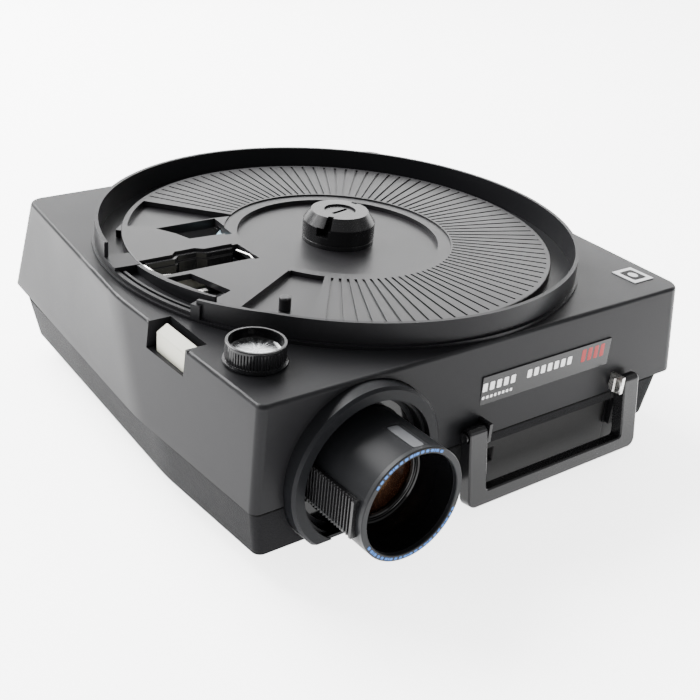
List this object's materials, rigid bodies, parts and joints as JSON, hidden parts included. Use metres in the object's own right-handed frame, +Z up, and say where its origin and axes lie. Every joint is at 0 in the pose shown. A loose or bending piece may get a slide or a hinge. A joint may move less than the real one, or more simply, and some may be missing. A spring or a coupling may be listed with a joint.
{
  "type": "slide projector",
  "caption": "Black slide projector with a ribbed round tray deck, centre spindle, slide gate, extending lens with focus knob and a folding front handle.",
  "frame": {"origin": "centre of the footprint's bounding box, at table height under the feet", "axes": "+Z up, +X to the right as seen from the lens side's front, +Y towards the back; the lens looks along -Y"},
  "size_m": [0.2845, 0.3091, 0.1034],
  "materials": {
    "housing": "fine moulded texture",
    "base": "leather grain moulding",
    "deck": "satin moulding",
    "black": "smooth black",
    "knob": "smooth black",
    "cream": "pale moulding",
    "silver": "spun",
    "steel": "bright",
    "chassis": "pressed",
    "grey": "satin",
    "glass": "clear",
    "coated_glass": "amber coating",
    "heat": "pale blue-green",
    "reflector": "polished",
    "rubber": "matt",
    "copper": "wound coil",
    "badge": "printed plate"
  },
  "bodies": {
    "housing": {"top_housing": "housing", "base_pan": "base", "slide_deck": "deck", "hub_spindle": "black", "index_peg": "deck", "gate_frame": "chassis", "register_plate": "cream", "gate_spring_outer": "steel", "gate_spring_inner": "steel", "chute_glass": "heat", "lens_bezel": "black", "lens_carrier": "grey", "focus_bearing": "grey", "select_guide": "grey", "handle_brackets": "steel", "handle_pivot_screws": "steel", "nameplate": "black", "badge_plate": "badge", "chassis_plate": "chassis", "optics_cradle": "grey", "condenser_front": "glass", "heat_glass": "heat", "condenser_rear": "glass", "lamp_bracket": "chassis", "lamp_socket": "cream", "lamp_bulb": "glass", "lamp_reflector": "reflector", "hatch_pin": "steel", "motor_body": "copper", "fan_housing": "grey", "cam_post": "steel", "lift_bracket": "chassis", "index_bracket": "chassis", "power_inlet": "black", "switch_frame": "black", "remote_socket": "black", "rubber_feet": "rubber"},
    "spindle_lock": {"spindle_latch": "black"},
    "pad": {"pressure_pad": "black"},
    "lens": {"lens_barrel": "black", "lens_front_ring": "black", "front_lens_element": "coated_glass", "rear_lens_element": "glass", "lens_rack": "black"},
    "focus": {"focus_knob": "knob", "focus_knob_insert": "silver", "focus_shaft": "steel", "focus_pinion": "grey"},
    "selector": {"select_bar": "cream"},
    "handle": {"carry_handle": "black"},
    "hatch": {"lamp_hatch": "base"},
    "fan": {"fan_shaft": "steel", "fan_rotor": "grey"},
    "cam": {"cycle_cam": "grey"},
    "lifter": {"lift_lever": "steel"},
    "indexer": {"index_lever": "steel"},
    "shutter": {"shutter_blade": "chassis"},
    "rocker": {"power_switch": "black"},
    "rear_foot": {"levelling_foot": "rubber"},
    "front_foot": {"lift_foot": "rubber"}
  },
  "joints": [
    {"name": "spindle_lock_turn", "type": "hinge", "parent": "housing", "child": "spindle_lock", "pos_m": [0, 0.0156, 0.1], "axis": [0, 0, 1], "range_deg": [0, 90]},
    {"name": "pad_slide", "type": "slide", "parent": "housing", "child": "pad", "axis": [0, -1, 0], "range_m": [0, 0.003], "stiffness_N_per_m": 60},
    {"name": "lens_slide", "type": "slide", "parent": "housing", "child": "lens", "axis": [0, 1, 0], "range_m": [-0.0095, 0.0295]},
    {"name": "focus_turn", "type": "hinge", "parent": "housing", "child": "focus", "pos_m": [-0.11618, -0.0819, 0.06], "axis": [0, 0, 1], "range_deg": [-115, 355]},
    {"name": "select_press", "type": "slide", "parent": "housing", "child": "selector", "axis": [0, 0, -1], "range_m": [0, 0.004], "stiffness_N_per_m": 150, "springref_m": -0.002},
    {"name": "handle_swing", "type": "hinge", "parent": "housing", "child": "handle", "pos_m": [0, -0.1232, 0.0415], "axis": [-1, 0, 0], "range_deg": [0, 95]},
    {"name": "hatch_swing", "type": "hinge", "parent": "housing", "child": "hatch", "pos_m": [-0.083, 0.1176, 0.0139], "axis": [1, 0, 0], "range_deg": [0, 70]},
    {"name": "fan_spin", "type": "hinge", "parent": "housing", "child": "fan", "pos_m": [0.035, 0.0376, 0.06], "axis": [0, 0, 1], "continuous": true},
    {"name": "cam_spin", "type": "hinge", "parent": "housing", "child": "cam", "pos_m": [-0.022, -0.0264, 0.033], "axis": [0, 0, 1], "continuous": true},
    {"name": "lift_swing", "type": "hinge", "parent": "housing", "child": "lifter", "pos_m": [-0.024, 0.0156, 0.024], "axis": [0, 1, 0], "range_deg": [0, 34]},
    {"name": "index_swing", "type": "hinge", "parent": "housing", "child": "indexer", "pos_m": [-0.084, -0.0144, 0.081], "axis": [0, 0, 1], "range_deg": [-4, 4]},
    {"name": "shutter_slide", "type": "slide", "parent": "housing", "child": "shutter", "axis": [1, 0, 0], "range_m": [0, 0.045]},
    {"name": "power_rock", "type": "hinge", "parent": "housing", "child": "rocker", "pos_m": [0.041, 0.1456, 0.0545], "axis": [1, 0, 0], "range_deg": [0, 12]},
    {"name": "rear_foot_screw", "type": "slide", "parent": "housing", "child": "rear_foot", "axis": [0, 0, 1], "range_m": [-0.006, 0]},
    {"name": "front_foot_slide", "type": "slide", "parent": "housing", "child": "front_foot", "axis": [0, 0, 1], "range_m": [-0.03, 0]}
  ],
  "couplings": [
    {"joint": "focus_turn", "follows": "lens_slide", "rad_per_m": 209.44}
  ]
}
